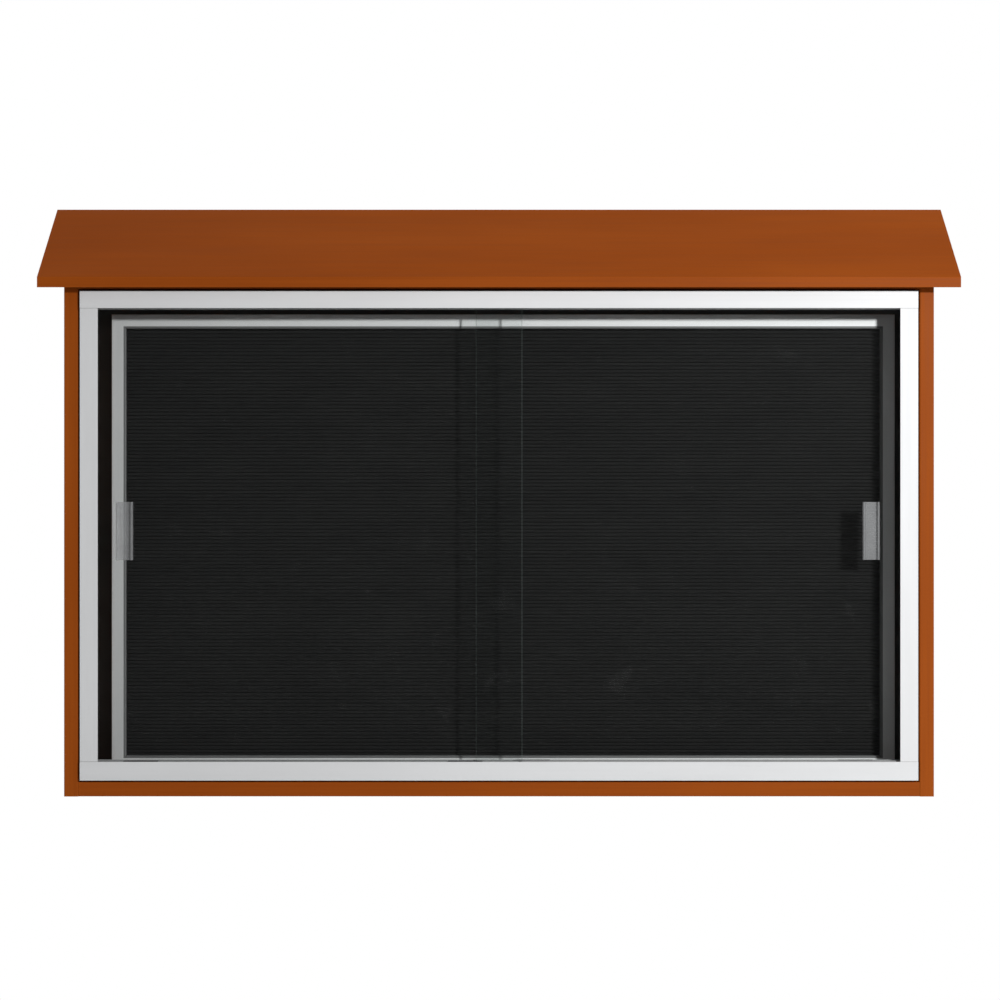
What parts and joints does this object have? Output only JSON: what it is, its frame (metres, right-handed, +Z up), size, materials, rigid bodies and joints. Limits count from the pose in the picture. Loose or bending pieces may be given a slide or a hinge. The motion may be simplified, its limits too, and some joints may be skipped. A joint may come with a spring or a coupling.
{
  "type": "outdoor notice board",
  "caption": "Wall-hung outdoor notice board with a sloping roof, sliding glass doors in a metal face frame and a grooved letter board inside.",
  "frame": {"origin": "centre of the four wall bolt holes, on the back face of the back panel", "axes": "+Z up, front of the board faces -Y, +X to the right as seen from the front"},
  "size_m": [1.604, 0.1413, 1.0467],
  "materials": {
    "lumber": "recycled plastic lumber, cedar brown, fine brushed grain",
    "inner_wood": "planed batten",
    "back_black": "matt black sheet",
    "frame_alloy": "satin anodised",
    "board_alloy": "satin anodised",
    "liner_plastic": "black plastic",
    "bumper_rubber": "black rubber",
    "door_glass": "clear float glass with ground edges",
    "pull_grey": "grey moulded plastic",
    "glide_nylon": "black nylon",
    "letter_felt": "black felt over grooves",
    "backing_board": "hardboard",
    "clip_alloy": "mill finish",
    "screw_steel": "stainless steel"
  },
  "bodies": {
    "cabinet": {"left_side_board": "lumber", "right_side_board": "lumber", "bottom_board": "lumber", "top_board": "lumber", "roof_board": "lumber", "back_panel": "back_black", "roof_cleat": "lumber", "roof_brackets": "clip_alloy", "upper_track": "frame_alloy", "lower_track": "frame_alloy", "left_stile": "frame_alloy", "right_stile": "frame_alloy", "frame_packers": "liner_plastic", "upper_liner": "liner_plastic", "lower_liner": "liner_plastic", "left_bumper": "bumper_rubber", "right_bumper": "bumper_rubber", "top_batten": "inner_wood", "bottom_batten": "inner_wood", "hanger_rail": "clip_alloy", "board_clip": "clip_alloy", "board_pads": "bumper_rubber", "letter_panel": "letter_felt", "letter_backing": "backing_board", "board_frame_top": "board_alloy", "board_frame_bottom": "board_alloy", "board_frame_left": "board_alloy", "board_frame_right": "board_alloy", "board_corner_keys": "screw_steel", "cabinet_screws": "screw_steel", "back_screws": "screw_steel", "frame_screws": "screw_steel", "batten_screws": "screw_steel", "bracket_screws": "screw_steel", "clip_screws": "screw_steel"},
    "left_door": {"left_glass": "door_glass", "left_pull": "pull_grey", "left_glides": "glide_nylon"},
    "right_door": {"right_glass": "door_glass", "right_pull": "pull_grey", "right_glides": "glide_nylon"}
  },
  "joints": [
    {"name": "left_door_slide", "type": "slide", "parent": "cabinet", "child": "left_door", "axis": [1, 0, 0], "range_m": [0, 0.687]},
    {"name": "right_door_slide", "type": "slide", "parent": "cabinet", "child": "right_door", "axis": [-1, 0, 0], "range_m": [0, 0.687]}
  ]
}
